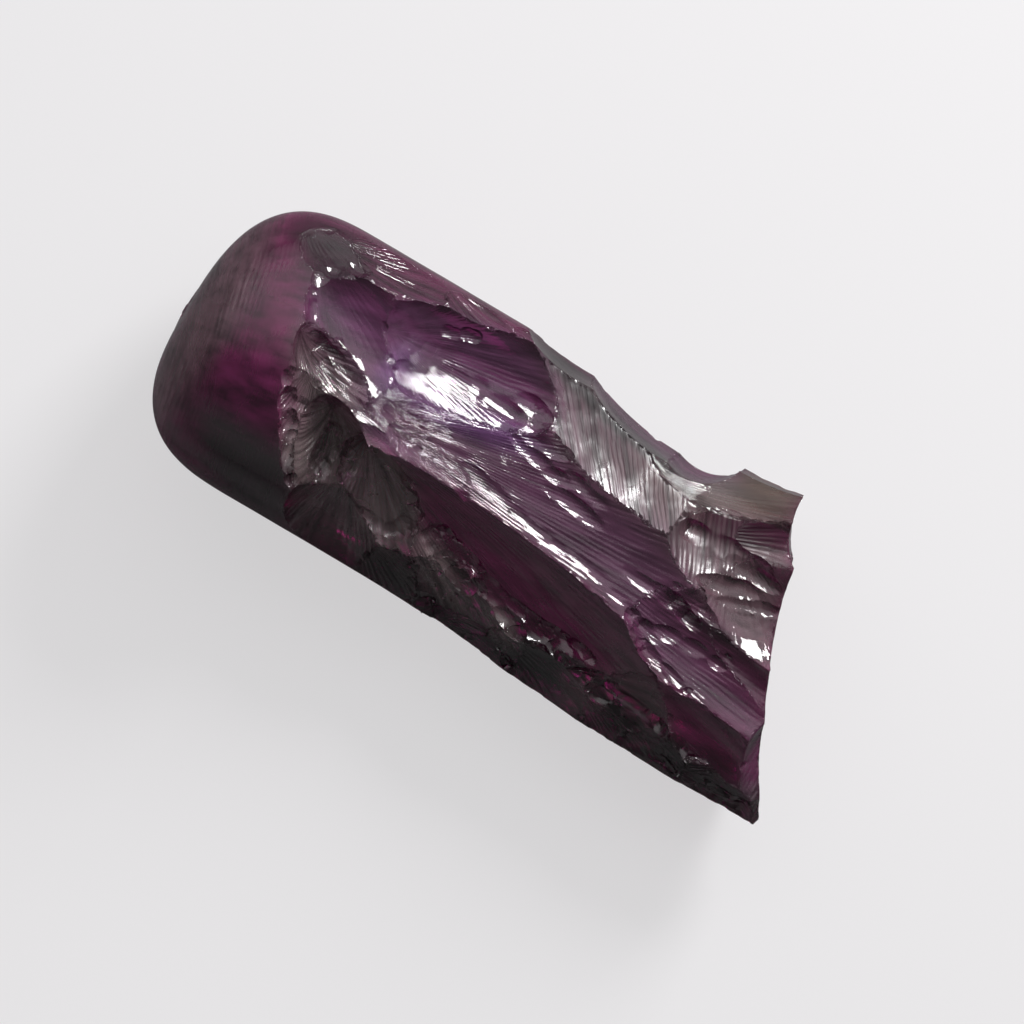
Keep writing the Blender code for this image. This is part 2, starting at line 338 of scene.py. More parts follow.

# Centre, half sizes, turn, tone, strength and lowest height of each patch. The dark patches on the lower skin
# and along the lower rim are painted shade; the rose, ruby, pale flank and violet patches are painted light.
SHADES = tuple(Shade(*row) for row in (
    # painted shade: a dark patch on the lower skin of the nose
    ((-14.9, -6.4), (4.8, 2.6), -28.0, DARK),
    # painted sheen: a light rose band high on the left rim, standing in for its bright reflection
    ((-21.6, 0.0), (1.8, 7.5), 0.0, ROSE, 0.8, 6.5),
    # painted light: a brighter ruby patch where light shows through the skin of the nose
    ((-16.6, -2.4), (3.2, 2.6), 0.0, RUBY, 0.7),
    ((-17.0, 7.4), (3.4, 2.2), -20.0, DARK, 0.6, 8.0),
    # painted shade: dark patches along the lower rim
    ((7.0, -9.0), (21.0, 2.3), 0.0, DARK),
    ((6.5, -7.4), (4.6, 1.4), -8.0, DARK, 0.8),
    ((1.8, -8.2), (2.6, 1.2), -20.0, DARK, 0.8),
    ((16.4, -1.2), (3.4, 1.0), -16.0, DARK, 0.6),
    # painted light: a pale patch high on the flank, where light shines through its thin crest
    ((6.4, 8.0), (6.5, 1.6), -14.0, ASH, 0.95, 5.2),
    ((4.6, 7.2), (7.0, 0.5), -12.0, DARK, 0.8),
    # painted light: lighter violet along the bowl's lower wall, standing in for light showing through it
    ((-4.4, 3.0), (4.6, 1.1), 8.0, VIOLET),
    ((-9.8, 3.2), (1.2, 2.0), 0.0, VIOLET, 0.7),
    ((-0.9, -6.0), (3.4, 1.1), -25.0, ASH, 0.85),
    ((3.6, -6.9), (1.6, 0.8), -25.0, ASH, 0.7),
    ((10.0, -7.9), (1.8, 1.0), -20.0, SMOKE, 0.8),
))


@dataclass(frozen=True)
class RodSkin:
    """The rounded rod that the stone broke from, with its worn side."""

    length: float = 46.0
    half_width: float = 9.8
    half_height: float = 7.7
    axis_height: float = 6.5
    nose_in_plan: float = 8.0
    power_in_plan: float = 2.85
    nose_from_the_side: float = 11.0
    worn: float = 1.2
    worn_from: float = -6.0
    worn_to: float = 15.0
    swell: float = 0.05

    def _level(self, points: Array) -> Array:
        """0 on the skin, below 0 inside the rod."""
        behind = np.maximum(points[:, 0] + self.length / 2.0, 1e-3)
        in_plan = np.clip(1.0 - behind / self.nose_in_plan, 0.0, 1.0)
        from_side = np.clip(1.0 - behind / self.nose_from_the_side, 0.0, 1.0)
        plan = (1.0 - in_plan**self.power_in_plan) ** (1.0 / self.power_in_plan)
        side = np.sqrt(1.0 - from_side**2)
        along = np.clip((self.worn_to - points[:, 0]) / (self.worn_to - self.worn_from), 0.0, 1.0)
        along = along * along * (3.0 - 2.0 * along)
        narrowed = np.where(points[:, 1] < 0.0, 1.0 - self.worn / self.half_width * along, 1.0)
        across = points[:, 1] / np.maximum(self.half_width * plan * narrowed, 1e-3)
        upward = (points[:, 2] - self.axis_height) / np.maximum(self.half_height * side, 1e-3)
        return np.sqrt(across**2 + upward**2 + 1e-12) - 1.0

    def gap(self, points: Array) -> tuple[Array, Array]:
        """How far inside the skin points are.

        Args:
            points: places in millimetres, one row each.

        Returns:
            The depth under the skin, and the unit direction in which it grows.
        """
        step = 1e-3
        slope = np.empty_like(points)
        for axis in range(3):
            shift = np.zeros(3)
            shift[axis] = step
            slope[:, axis] = (self._level(points + shift) - self._level(points - shift)) / (2.0 * step)
        steepness = np.linalg.norm(slope, axis=1)
        return -self._level(points) / steepness, -slope / steepness[:, None]


@dataclass
class ChipSet:
    """Small chips with one spread of sizes, which catch the light as dashes and facets."""

    name: str
    count: int
    shortest: float
    longest: float
    shallowest: float
    deepest: float
    wobble: float
    glint_share: float
    glint_pull: float
    seed: int
    slimmest: float = 0.45
    widest: float = 0.8
    flatness: float = 0.6

    def place(self, points: Array, normals: Array, along: Array) -> list[Break]:
        """Chips at a random pick of points.

        Args:
            points: places on the surface, in millimetres.
            normals: the way out of the stone there.
            along: the direction that a chip's length follows there.

        Returns:
            One small break for each chip.
        """
        random = np.random.default_rng(self.seed)
        chosen = random.choice(len(points), size=min(self.count, len(points)), replace=False)
        way = facing(GLINT_BEARING, GLINT_LEAN)
        chips = []
        for number, index in enumerate(chosen):
            length = self.shortest + (self.longest - self.shortest) * random.random() ** 2.0
            depth = self.shallowest + (self.deepest - self.shallowest) * random.random() ** 1.6
            out = normals[index] + random.normal(0.0, self.wobble, 3)
            if random.random() < self.glint_share and normals[index] @ way > 0.6:
                out = out * (1.0 - self.glint_pull) + way * self.glint_pull
            out /= np.linalg.norm(out)
            lean = math.acos(float(np.clip(out[2], -1.0, 1.0)))
            bearing = math.atan2(out[1], out[0])
            width = length * random.uniform(self.slimmest, self.widest)
            reach = (length, width, random.uniform(0.8, 1.2) * width * self.flatness)
            floor = points[index] - normals[index] * depth
            chips.append(small_break(f"{self.name}_{number}", floor, reach, bearing, lean, along[index],
                                     random.normal(0.0, 16.0)))
        return chips


@dataclass(frozen=True)
class GlintRow:
    """A broken line of small flat facets along a ridge, which catch the key light."""

    path: tuple[tuple[float, float], ...]
    every: float = 0.95
    reach: tuple[float, float] = (2.2, 0.8)
    depth: float = 0.030
    half_height: float = 0.5
    spread: float = 0.045
    catch: float = 0.30
    lowest: float = 4.0

    def spots(self, random: np.random.Generator) -> list[Triple]:
        """Where the facets lie in plan, and the way that each one's length points, in degrees."""
        corners = np.array(self.path)
        legs = np.diff(corners, axis=0)
        lengths = np.linalg.norm(legs, axis=1)
        ends = np.concatenate([[0.0], np.cumsum(lengths)])
        found = []
        for at in np.arange(self.every * 0.3, ends[-1], self.every):
            at = min(at + random.normal(0.0, self.every * 0.16), ends[-1] - 1e-6)
            leg = max(int(np.searchsorted(ends, at)) - 1, 0)
            spot = corners[leg] + legs[leg] * (at - ends[leg]) / lengths[leg]
            found.append((spot[0], spot[1], math.degrees(math.atan2(legs[leg][1], legs[leg][0]))))
        return found

    def place(self, points: Array, name: str, random: np.random.Generator) -> list[Break]:
        """Facets that shave the highest surface along the row.

        Args:
            points: places on the surface, in millimetres.
            name: what the facets are called.
            random: the source of their small differences.

        Returns:
            One small break for each facet.
        """
        facets = []
        for number, (x, y, yaw) in enumerate(self.spots(random)):
            away = np.hypot(points[:, 0] - x, points[:, 1] - y)
            near = points[(away < self.catch) & (points[:, 2] > self.lowest)]
            if not len(near):
                continue
            bearing = GLINT_BEARING + random.normal(0.0, self.spread * 1.6)
            lean = GLINT_LEAN + random.normal(0.0, self.spread)
            way = facing(bearing, lean)
            top = near[np.argmax(near @ way)]
            size = random.uniform(0.4, 1.3)
            aim = math.radians(yaw + random.normal(0.0, 7.0))
            reach = (self.reach[0] * size, self.reach[1] * random.uniform(0.8, 1.2), self.half_height)
            facets.append(small_break(f"{name}_{number}", top - way * self.depth * size, reach, bearing,
                                      lean, (math.cos(aim), math.sin(aim), 0.0)))
        return facets


# Path in plan, spacing, half length and width, and depth of each row of facets.
GLINT_ROWS = tuple(GlintRow(*row) for row in (
    (((-9.6, -0.5), (-7.0, -0.3), (-3.2, -0.4), (0.2, -0.8), (3.6, -1.3), (6.6, -1.7), (9.0, -2.3),
      (11.4, -3.0), (13.0, -3.4)), 0.95),
    (((-9.3, 0.3), (-7.2, 0.7), (-5.2, 1.0)), 0.8),
    (((-0.9, 3.0), (0.1, 3.5), (1.0, 3.9)), 0.8, (1.8, 0.9)),
    (((-0.6, 2.6), (1.2, 2.1), (2.6, 2.4), (4.4, 2.2)), 0.8, (2.2, 0.7)),
    (((2.4, 1.3), (3.3, 1.1), (4.6, 0.9)), 0.9, (2.0, 0.8)),
    (((8.6, -0.7), (9.7, -0.9), (12.2, -0.8), (13.7, -1.5)), 0.8),
    (((13.4, -2.8), (14.6, -2.8), (16.4, -2.8)), 1.1, (1.8, 0.8), 0.03),
    (((13.0, -4.2), (14.1, -4.6), (15.6, -5.0)), 0.8, (2.2, 0.7), 0.03),
    (((-2.2, -4.4), (-1.3, -4.8), (-0.3, -5.2), (1.2, -5.8), (3.0, -6.3), (5.9, -6.4), (8.1, -6.5)), 0.8),
    (((5.0, -7.1), (6.4, -6.8), (7.8, -7.4)), 0.8),
    (((10.8, -7.3), (12.5, -7.6), (13.9, -7.8), (15.2, -7.9)), 0.8),
    (((-6.6, -6.0), (-5.8, -6.1), (-4.6, -5.2)), 0.5, (1.4, 0.8), 0.09),
    (((-11.2, -2.4), (-10.9, -3.9), (-10.5, -5.5)), 0.55, (1.5, 0.8), 0.09),
    (((-15.4, -0.1), (-14.4, -1.7), (-12.9, -4.1), (-11.6, -6.7)), 0.45, (1.2, 0.8), 0.015),
    (((-16.8, 6.9), (-16.2, 4.8), (-15.2, 3.2)), 0.5, (1.2, 0.8), 0.015),
    (((14.0, 3.2), (15.2, 2.9), (16.6, 2.8)), 0.7, (1.7, 1.0), 0.04),
    (((13.2, 0.0), (13.9, -0.5), (14.9, -0.6)), 0.7),
    (((16.2, 1.2), (16.9, 1.5)), 0.5),
    (((-9.0, 2.7), (-5.6, 3.0), (-2.2, 3.7)), 1.0, (2.6, 1.2), 0.05),
    (((-7.6, 3.4), (-4.6, 3.7), (-1.6, 4.4)), 0.9, (2.8, 1.4), 0.08),
    (((-6.6, 4.1), (-3.6, 4.5), (-1.2, 5.0)), 1.0, (2.4, 1.1), 0.05),
    (((-14.7, 1.9), (-13.3, 1.4), (-11.8, 0.8)), 0.6, (2.2, 0.7), 0.03),
    (((-14.4, 1.3), (-13.0, 0.7), (-12.0, 0.3)), 0.6, (2.2, 0.7), 0.03),
    (((11.8, 3.6), (13.6, 3.4), (15.6, 3.5)), 0.7, (2.4, 1.0), 0.04),
    (((14.6, 1.6), (16.0, 1.9), (16.8, 2.1)), 0.7, (2.0, 1.0), 0.04),
    (((-8.3, 6.4), (-7.4, 6.7), (-6.4, 7.0)), 0.35, (0.8, 0.6), 0.025),
    (((6.0, 6.6), (7.2, 6.0)), 0.5),
    (((10.8, 6.0), (12.2, 6.2)), 0.7, (2.0, 0.9), 0.03),
    (((-2.8, -4.9), (-1.8, -5.6), (-0.6, -6.2), (0.8, -6.8)), 0.45, (1.4, 0.9), 0.12),
    (((-1.6, -4.9), (-0.4, -5.7), (1.0, -6.3)), 0.45, (1.4, 0.9), 0.11),
    (((2.2, -6.3), (3.4, -6.9), (4.6, -7.5)), 0.5, (1.3, 0.9), 0.10),
    (((8.4, -7.3), (10.0, -8.0), (11.6, -8.4)), 0.7, (1.8, 1.0), 0.05),
    (((16.4, -8.4), (18.0, -8.8), (19.8, -9.0)), 0.8, (1.2, 0.8), 0.03),
    (((-16.4, 7.7), (-15.0, 7.6), (-13.0, 7.4), (-10.6, 7.3)), 0.8, (1.4, 0.8), 0.02),
    (((-5.8, -2.9), (-5.0, -3.9), (-4.6, -5.0)), 0.5, (1.4, 0.8), 0.10),
    (((-9.9, -2.2), (-9.4, -3.6), (-9.2, -5.2)), 0.6, (1.5, 0.8), 0.10),
))


@dataclass
class Surface:
    """The stone's outer surface as smooth curves: the rod's skin, the base and the breaks."""

    skin: RodSkin
    breaks: tuple[Break, ...]
    shift: float = CENTRING_SHIFT
    chips: list[Break] = field(default_factory=list)
    noise: Noise = Noise(7)
    margin: float = 0.4
    relief_reach: float = 0.9
    longest_step: float = 0.2
    furthest_move: float = 0.5
    least_ridge: float = math.radians(14.0)

    def __post_init__(self) -> None:
        """Works out each break's centre and axes once."""
        self.gather()

    def gather(self) -> None:
        """Lists the breaks and chips with their centres and stretched axes."""
        every = list(self.breaks) + list(self.chips)
        self.centres = np.array([item.centre() for item in every])
        self.stretch = np.array([item.axes() / np.array(item.reach) for item in every])
        self.biggest = np.array([max(item.reach) for item in every])

    def run_of(self, item: Break, points: Array) -> Array:
        """How far points lie from where a break's crack started, and how far round it, in mm."""
        axes = item.axes()
        offset = points - item.start()
        run = np.linalg.norm(offset, axis=1)
        turn = np.arctan2(offset @ axes[:, 1], offset @ axes[:, 0])
        usual = float(np.linalg.norm(np.array(item.floor) - item.start()))
        return np.stack([run, turn * usual], axis=1)

    def relief(self, item: Break, points: Array) -> Array:
        """How much a break's own waves, ribs, splinters and steps take off at points."""
        grain = item.fracture.value
        noise = Noise(sum(ord(letter) for letter in item.name))
        run, round_it = self.run_of(item, points).T
        local = (points - np.array(item.floor)) @ item.axes()
        swell = noise.rough(points, grain.swell_size)
        warp = noise.at(points, 1.9) * 0.45 + noise.at(points, 5.0) * 1.2
        ring = run
        if item.nested_ribs:
            ring = np.hypot(local[:, 0] / item.reach[0], local[:, 1] / item.reach[1]) * item.reach[1]
        patch = np.clip(0.5 + 0.9 * noise.at(points, 3.1), 0.0, 1.3)
        ribs = np.abs(np.sin(math.pi * (ring + warp) / grain.rib_spacing)) ** 0.7
        fine = grain.hackle_spacing
        streak = np.stack([round_it / fine, run / (fine * 8.0), warp * 0.4], axis=1)
        hackle = np.abs(noise.rough(streak, 1.0, 2)) * np.clip(run / 9.0, 0.10, 1.0)
        splinter = np.clip(0.35 + 1.1 * noise.at(points + 31.0, 2.3), 0.05, 1.2)
        tread = np.stack([round_it / grain.step_width, run / (grain.step_width * 4.5), swell * 0.5], axis=1)
        level = 2.2 * (1.0 + Noise(noise.seed + 5).rough(tread, 1.0, 2))
        whole = np.floor(level)
        total = grain.swell * (0.5 + 0.5 * swell)
        total += grain.rib * patch * (1.0 - ribs)
        total += grain.hackle * splinter * hackle * 2.0
        total += grain.step * np.clip(run / 7.0, 0.0, 1.0) * (whole + (level - whole) ** 6)
        return total

    def _depth(self, points: Array, number: int) -> Array:
        """How far outside a break's ellipsoid points lie."""
        stretch = self.stretch[number]
        local = (points - self.centres[number]) @ stretch
        radius = np.linalg.norm(local, axis=1) + 1e-9
        slope = np.linalg.norm((local / radius[:, None]) @ stretch.T, axis=1)
        return (radius - 1.0) / slope

    def _near_each(self, points: Array, numbers: range) -> Iterator[tuple[int, Array, Array]]:
        """Each break or chip with points in its reach, those points' numbers, and its depth there."""
        order = np.argsort(points[:, 0])
        ordered = points[order, 0]
        for number in numbers:
            reach = self.biggest[number] + self.margin
            first = np.searchsorted(ordered, self.centres[number][0] - reach)
            last = np.searchsorted(ordered, self.centres[number][0] + reach)
            near = order[first:last]
            near = near[np.abs(points[near, 1] - self.centres[number][1]) < reach]
            if len(near):
                yield number, near, self._depth(points[near], number)

    def reliefs(self, points: Array) -> Array:
        """What the relief of the skin, the base and each near break takes off at points."""
        table = self.main_gaps(points)
        close = table < table.min(axis=1, keepdims=True) + self.relief_reach
        relief = np.zeros(table.shape, np.float32)
        relief[close[:, 0], 0] = self.skin_relief(points[close[:, 0]])
        relief[close[:, 1], 1] = 0.03 * (0.5 + 0.5 * self.noise.rough(points[close[:, 1]], 4.0))
        for number, item in enumerate(self.breaks):
            near = close[:, 2 + number]
            if near.any():
                relief[near, 2 + number] = self.relief(item, points[near])
        return relief

    def main_gaps(self, points: Array) -> Array:
        """Each main surface's depth under which points lie: the skin, the base, then the breaks."""
        table = np.full((len(points), 2 + len(self.breaks)), FAR)
        table[:, 0] = self.skin.gap(points)[0]
        table[:, 1] = points[:, 2]
        for number, near, gap in self._near_each(points, range(len(self.breaks))):
            table[near, 2 + number] = gap
        return table

    def nearest_two(self, points: Array, relief: Array) -> tuple[Array, Array]:
        """The two surfaces nearest each point.

        Args:
            points: places, one row each.
            relief: what each main surface's relief takes off there.

        Returns:
            The surfaces' numbers, two a row, and the depths under them.
        """
        rows = np.arange(len(points))
        table = self.main_gaps(points)
        table -= relief
        pair = np.argpartition(table, 1, axis=1)[:, :2]
        swap = table[rows, pair[:, 0]] > table[rows, pair[:, 1]]
        pair[swap] = pair[swap][:, ::-1]
        depth = np.take_along_axis(table, pair, axis=1)
        for number, near, gap in self._near_each(points, range(len(self.breaks), len(self.centres))):
            best = gap < depth[near, 0]
            rows_best = near[best]
            depth[rows_best, 1] = depth[rows_best, 0]
            pair[rows_best, 1] = pair[rows_best, 0]
            depth[rows_best, 0] = gap[best]
            pair[rows_best, 0] = number + 2
            second = ~best & (gap < depth[near, 1])
            depth[near[second], 1] = gap[second]
            pair[near[second], 1] = number + 2
        return pair, depth

    def skin_relief(self, points: Array) -> Array:
        """The skin's slow dents and its fine growth lines round the rod."""
        slow = self.noise.rough(points, 5.0)
        lengthwise = turned(points, SKIN_TURN)[0]
        lines = np.stack([lengthwise / 0.8, points[:, 1] / 9.0, points[:, 2] / 9.0], axis=1)
        return self.skin.swell * (0.5 + 0.5 * slow) + 0.003 * np.abs(self.noise.rough(lines, 1.0, 2))

    def directions(self, points: Array, which: Array) -> Array:
        """The unit way into the stone from a surface.

        Args:
            points: places, one row each.
            which: the surface's number for each place, 0 for the skin and 1 for the base.

        Returns:
            One unit vector a row.
        """
        inward = np.zeros_like(points)
        on_skin = which == 0
        if on_skin.any():
            inward[on_skin] = self.skin.gap(points[on_skin])[1]
        inward[which == 1] = (0.0, 0.0, 1.0)
        rest = which >= 2
        number = which[rest] - 2
        local = np.einsum("ni,nij->nj", points[rest] - self.centres[number], self.stretch[number])
        local /= np.linalg.norm(local, axis=1, keepdims=True) + 1e-9
        slope = np.einsum("nj,nij->ni", local, self.stretch[number])
        inward[rest] = slope / np.linalg.norm(slope, axis=1, keepdims=True)
        return inward

    @staticmethod
    def held(moves: Array, longest: float) -> Array:
        """Moves shortened to a longest length."""
        size = np.linalg.norm(moves, axis=1, keepdims=True)
        return moves * np.minimum(1.0, longest / np.maximum(size, 1e-9))

    def both_ways(self, points: Array, pair: Array) -> tuple[Array, Array, Array]:
        """The unit ways into the stone from each point's two surfaces, and the cosine between them."""
        one, two = (self.directions(points, pair[:, side]) for side in (0, 1))
        return one, two, np.einsum("ij,ij->i", one, two)

    def fit(self, points: Array, cell: float, rounds: int) -> Array:
        """Moves points onto the surface, and those beside a ridge onto the ridge.

        Args:
            points: places near the surface, in millimetres.
            cell: the mesh's spacing, which sets how near a ridge counts.
            rounds: how many times to step.

        Returns:
            The moved points.
        """
        start = points
        points = points.copy()
        for turn in range(rounds):
            if turn in (0, rounds // 2):
                relief = self.reliefs(points)
            pair, depth = self.nearest_two(points, relief)
            gap_one, gap_two = depth.T
            into_one, into_two, cosine = self.both_ways(points, pair)
            sine = np.sqrt(np.clip(1.0 - cosine**2, 1e-6, 1.0))
            beside = (gap_two - gap_one) / sine < 0.5 * cell
            beside &= sine > 0.22
            step = -gap_one[:, None] * into_one
            share_one = -(gap_one - cosine * gap_two) / sine**2
            share_two = -(gap_two - cosine * gap_one) / sine**2
            both = share_one[:, None] * into_one + share_two[:, None] * into_two
            step[beside] = both[beside]
            points += self.held(step, self.longest_step)
            points = start + self.held(points - start, self.furthest_move)
        return points

    def ridges(self, points: Array, within: float) -> tuple[Array, Array, Array]:
        """Points on the ridges, with the way out and the ridge's direction at each.

        Args:
            points: places on the surface.
            within: how near a second surface has to be.

        Returns:
            The places, the ways out, and the directions along the ridge.
        """
        pair, depth = self.nearest_two(points, self.reliefs(points))
        into_one, into_two, cosine = self.both_ways(points, pair)
        near = depth[:, 1] - depth[:, 0] < within
        near &= cosine < math.cos(self.least_ridge)
        near &= pair.max(axis=1) >= 2
        out = -(into_one + into_two)[near]
        out /= np.linalg.norm(out, axis=1, keepdims=True)
        along = np.cross(into_one, into_two)[near]
        along /= np.linalg.norm(along, axis=1, keepdims=True)
        return points[near], out, along


class Nodes:
    """Adds and joins shader nodes in one tree."""

    def __init__(self, tree: bpy.types.NodeTree) -> None:
        """Keeps the tree."""
        self.tree = tree

    def feed(self, socket: Socket, value: object) -> None:
        """Sets an input socket, or links it when the value is another node's output."""
        if isinstance(value, Socket):
            self.tree.links.new(value, socket)
        else:
            socket.default_value = value

    def fill(self, node: bpy.types.Node, inputs: dict) -> None:
        """Sets or links a node's inputs, each under its name or number."""
        for name, value in inputs.items():
            self.feed(node.inputs[name], value)

    def add(self, kind: str, inputs: Optional[dict] = None, **settings: object) -> bpy.types.Node:
        """Adds a node, sets its own properties, such as its operation, and fills its inputs."""
        node = self.tree.nodes.new(kind)
        for name, value in settings.items():
            setattr(node, name, value)
        self.fill(node, inputs or {})
        return node

    def math(self, operation: str, first: object, second: object = 0.0) -> Socket:
        """A Math node's result."""
        return self.add("ShaderNodeMath", {0: first, 1: second}, operation=operation).outputs[0]

    def painted(self, name: str, output: str = "Fac") -> Socket:
        """An attribute painted on the mesh."""
        return self.add("ShaderNodeAttribute", attribute_name=name).outputs[output]

    def noise(self, vector: object, scale: float, detail: float = 3.0,
              rough: float = 0.5) -> Socket:
        """A noise texture's value."""
        inputs = {"Vector": vector, "Scale": scale, "Detail": detail, "Roughness": rough}
        return self.add("ShaderNodeTexNoise", inputs).outputs["Fac"]

    def stretched(self, vector: object, factors: Triple) -> Socket:
        """A vector with each part multiplied."""
        return self.add("ShaderNodeVectorMath", {0: vector, 1: factors}, operation="MULTIPLY").outputs[0]

    def blend(self, share: object, first: object, second: object) -> Socket:
        """Two numbers mixed by a share."""
        return self.add("ShaderNodeMix", {"Factor": share, "A": first, "B": second}).outputs["Result"]

    def spread(self, value: object, low: float, high: float, to_low: float = 0.0,
               to_high: float = 1.0, **settings: object) -> Socket:
        """A value moved from one range to another and kept inside it."""
        inputs = {"Value": value, "From Min": low, "From Max": high, "To Min": to_low, "To Max": to_high}
        return self.add("ShaderNodeMapRange", inputs, **settings).outputs["Result"]


@dataclass(frozen=True)
class CrystalFinish:
    """The see-through purple body and its polished, combed and frosted surfaces."""

    name: str = "purple_crystal"
    ior: float = 1.60
    absorbed: Triple = (0.62, 0.08, 0.58)
    density: float = 520.0
    clear: float = 0.90
    polish: float = 0.05
    frosted: float = 0.60
    line_depth: float = 0.00020
    comb_turns: float = 20.0
    comb_share: float = 0.16
    silk_bearing: float = 10.5
    silk_scale: Triple = (6.0, 1.0, 1.0)
    strand_range: tuple[float, float, float, float] = (0.34, 0.70, 0.45, 1.9)

    def build(self) -> bpy.types.Material:
        """Makes the material."""
        material = bpy.data.materials.new(self.name)
        material.use_nodes = True
        nodes = Nodes(material.node_tree)
        shader = material.node_tree.nodes["Principled BSDF"]
        output = material.node_tree.nodes["Material Output"]
        place = nodes.add("ShaderNodeTexCoord").outputs["Object"]
        # The tint attribute carries painted shade and light as well as the stone's own colours.
        tint, grain = nodes.painted("tint", "Color"), nodes.painted("grain", "Vector")
        frost, comb = nodes.painted("frost"), nodes.painted("comb")
        turn = (0.0, 0.0, math.radians(self.silk_bearing))
        silk = nodes.add("ShaderNodeMapping", {"Vector": place, "Rotation": turn, "Scale": self.silk_scale},
                         vector_type="TEXTURE")
        strands = nodes.spread(nodes.noise(silk.outputs[0], 950.0, 3.0, 0.6), *self.strand_range)
        lengthwise = nodes.noise(nodes.stretched(grain, (0.12, 1.4, 1.0)), 1.3, 3.0, 0.6)
        growth = nodes.spread(lengthwise, *self.strand_range)
        strands = nodes.blend(nodes.spread(comb, 0.05, 0.40), strands, growth)
        coloured = nodes.add("ShaderNodeVectorMath", {0: tint, "Scale": strands}, operation="SCALE")
        patches = nodes.spread(nodes.noise(place, 420.0, 2.0), 0.38, 0.62, 0.25, 1.0)
        lines = nodes.noise(nodes.stretched(grain, (0.09, 1.0, 1.0)), 3.0, 4.0, 0.65)
        warp = nodes.noise(nodes.stretched(grain, (0.3, 0.3, 1.0)), 1.0, 1.0)
        round_it = nodes.add("ShaderNodeSeparateXYZ", {0: grain}).outputs[1]
        wave = nodes.math("SINE", nodes.math("ADD", nodes.math("MULTIPLY", round_it, self.comb_turns),
                                             nodes.math("MULTIPLY", warp, 9.0)))
        height = nodes.math("ADD", nodes.math("MULTIPLY", wave, self.comb_share), lines)
        height = nodes.math("MULTIPLY", height, nodes.math("MULTIPLY", comb, patches))
        bump = nodes.add("ShaderNodeBump", {"Strength": 1.0, "Distance": self.line_depth, "Height": height})
        worn = nodes.math("MULTIPLY", frost, patches)
        nodes.fill(shader, {
            "IOR": self.ior,
            "Transmission Weight": self.clear,
            "Metallic": 0.0,
            "Base Color": coloured.outputs[0],
            "Normal": bump.outputs["Normal"],
            "Roughness": nodes.spread(worn, 0.0, 1.0, self.polish, self.frosted),
        })
        inside = {"Color": (*self.absorbed, 1.0), "Density": self.density}
        nodes.feed(output.inputs["Volume"], nodes.add("ShaderNodeVolumeAbsorption", inside).outputs[0])
        return material


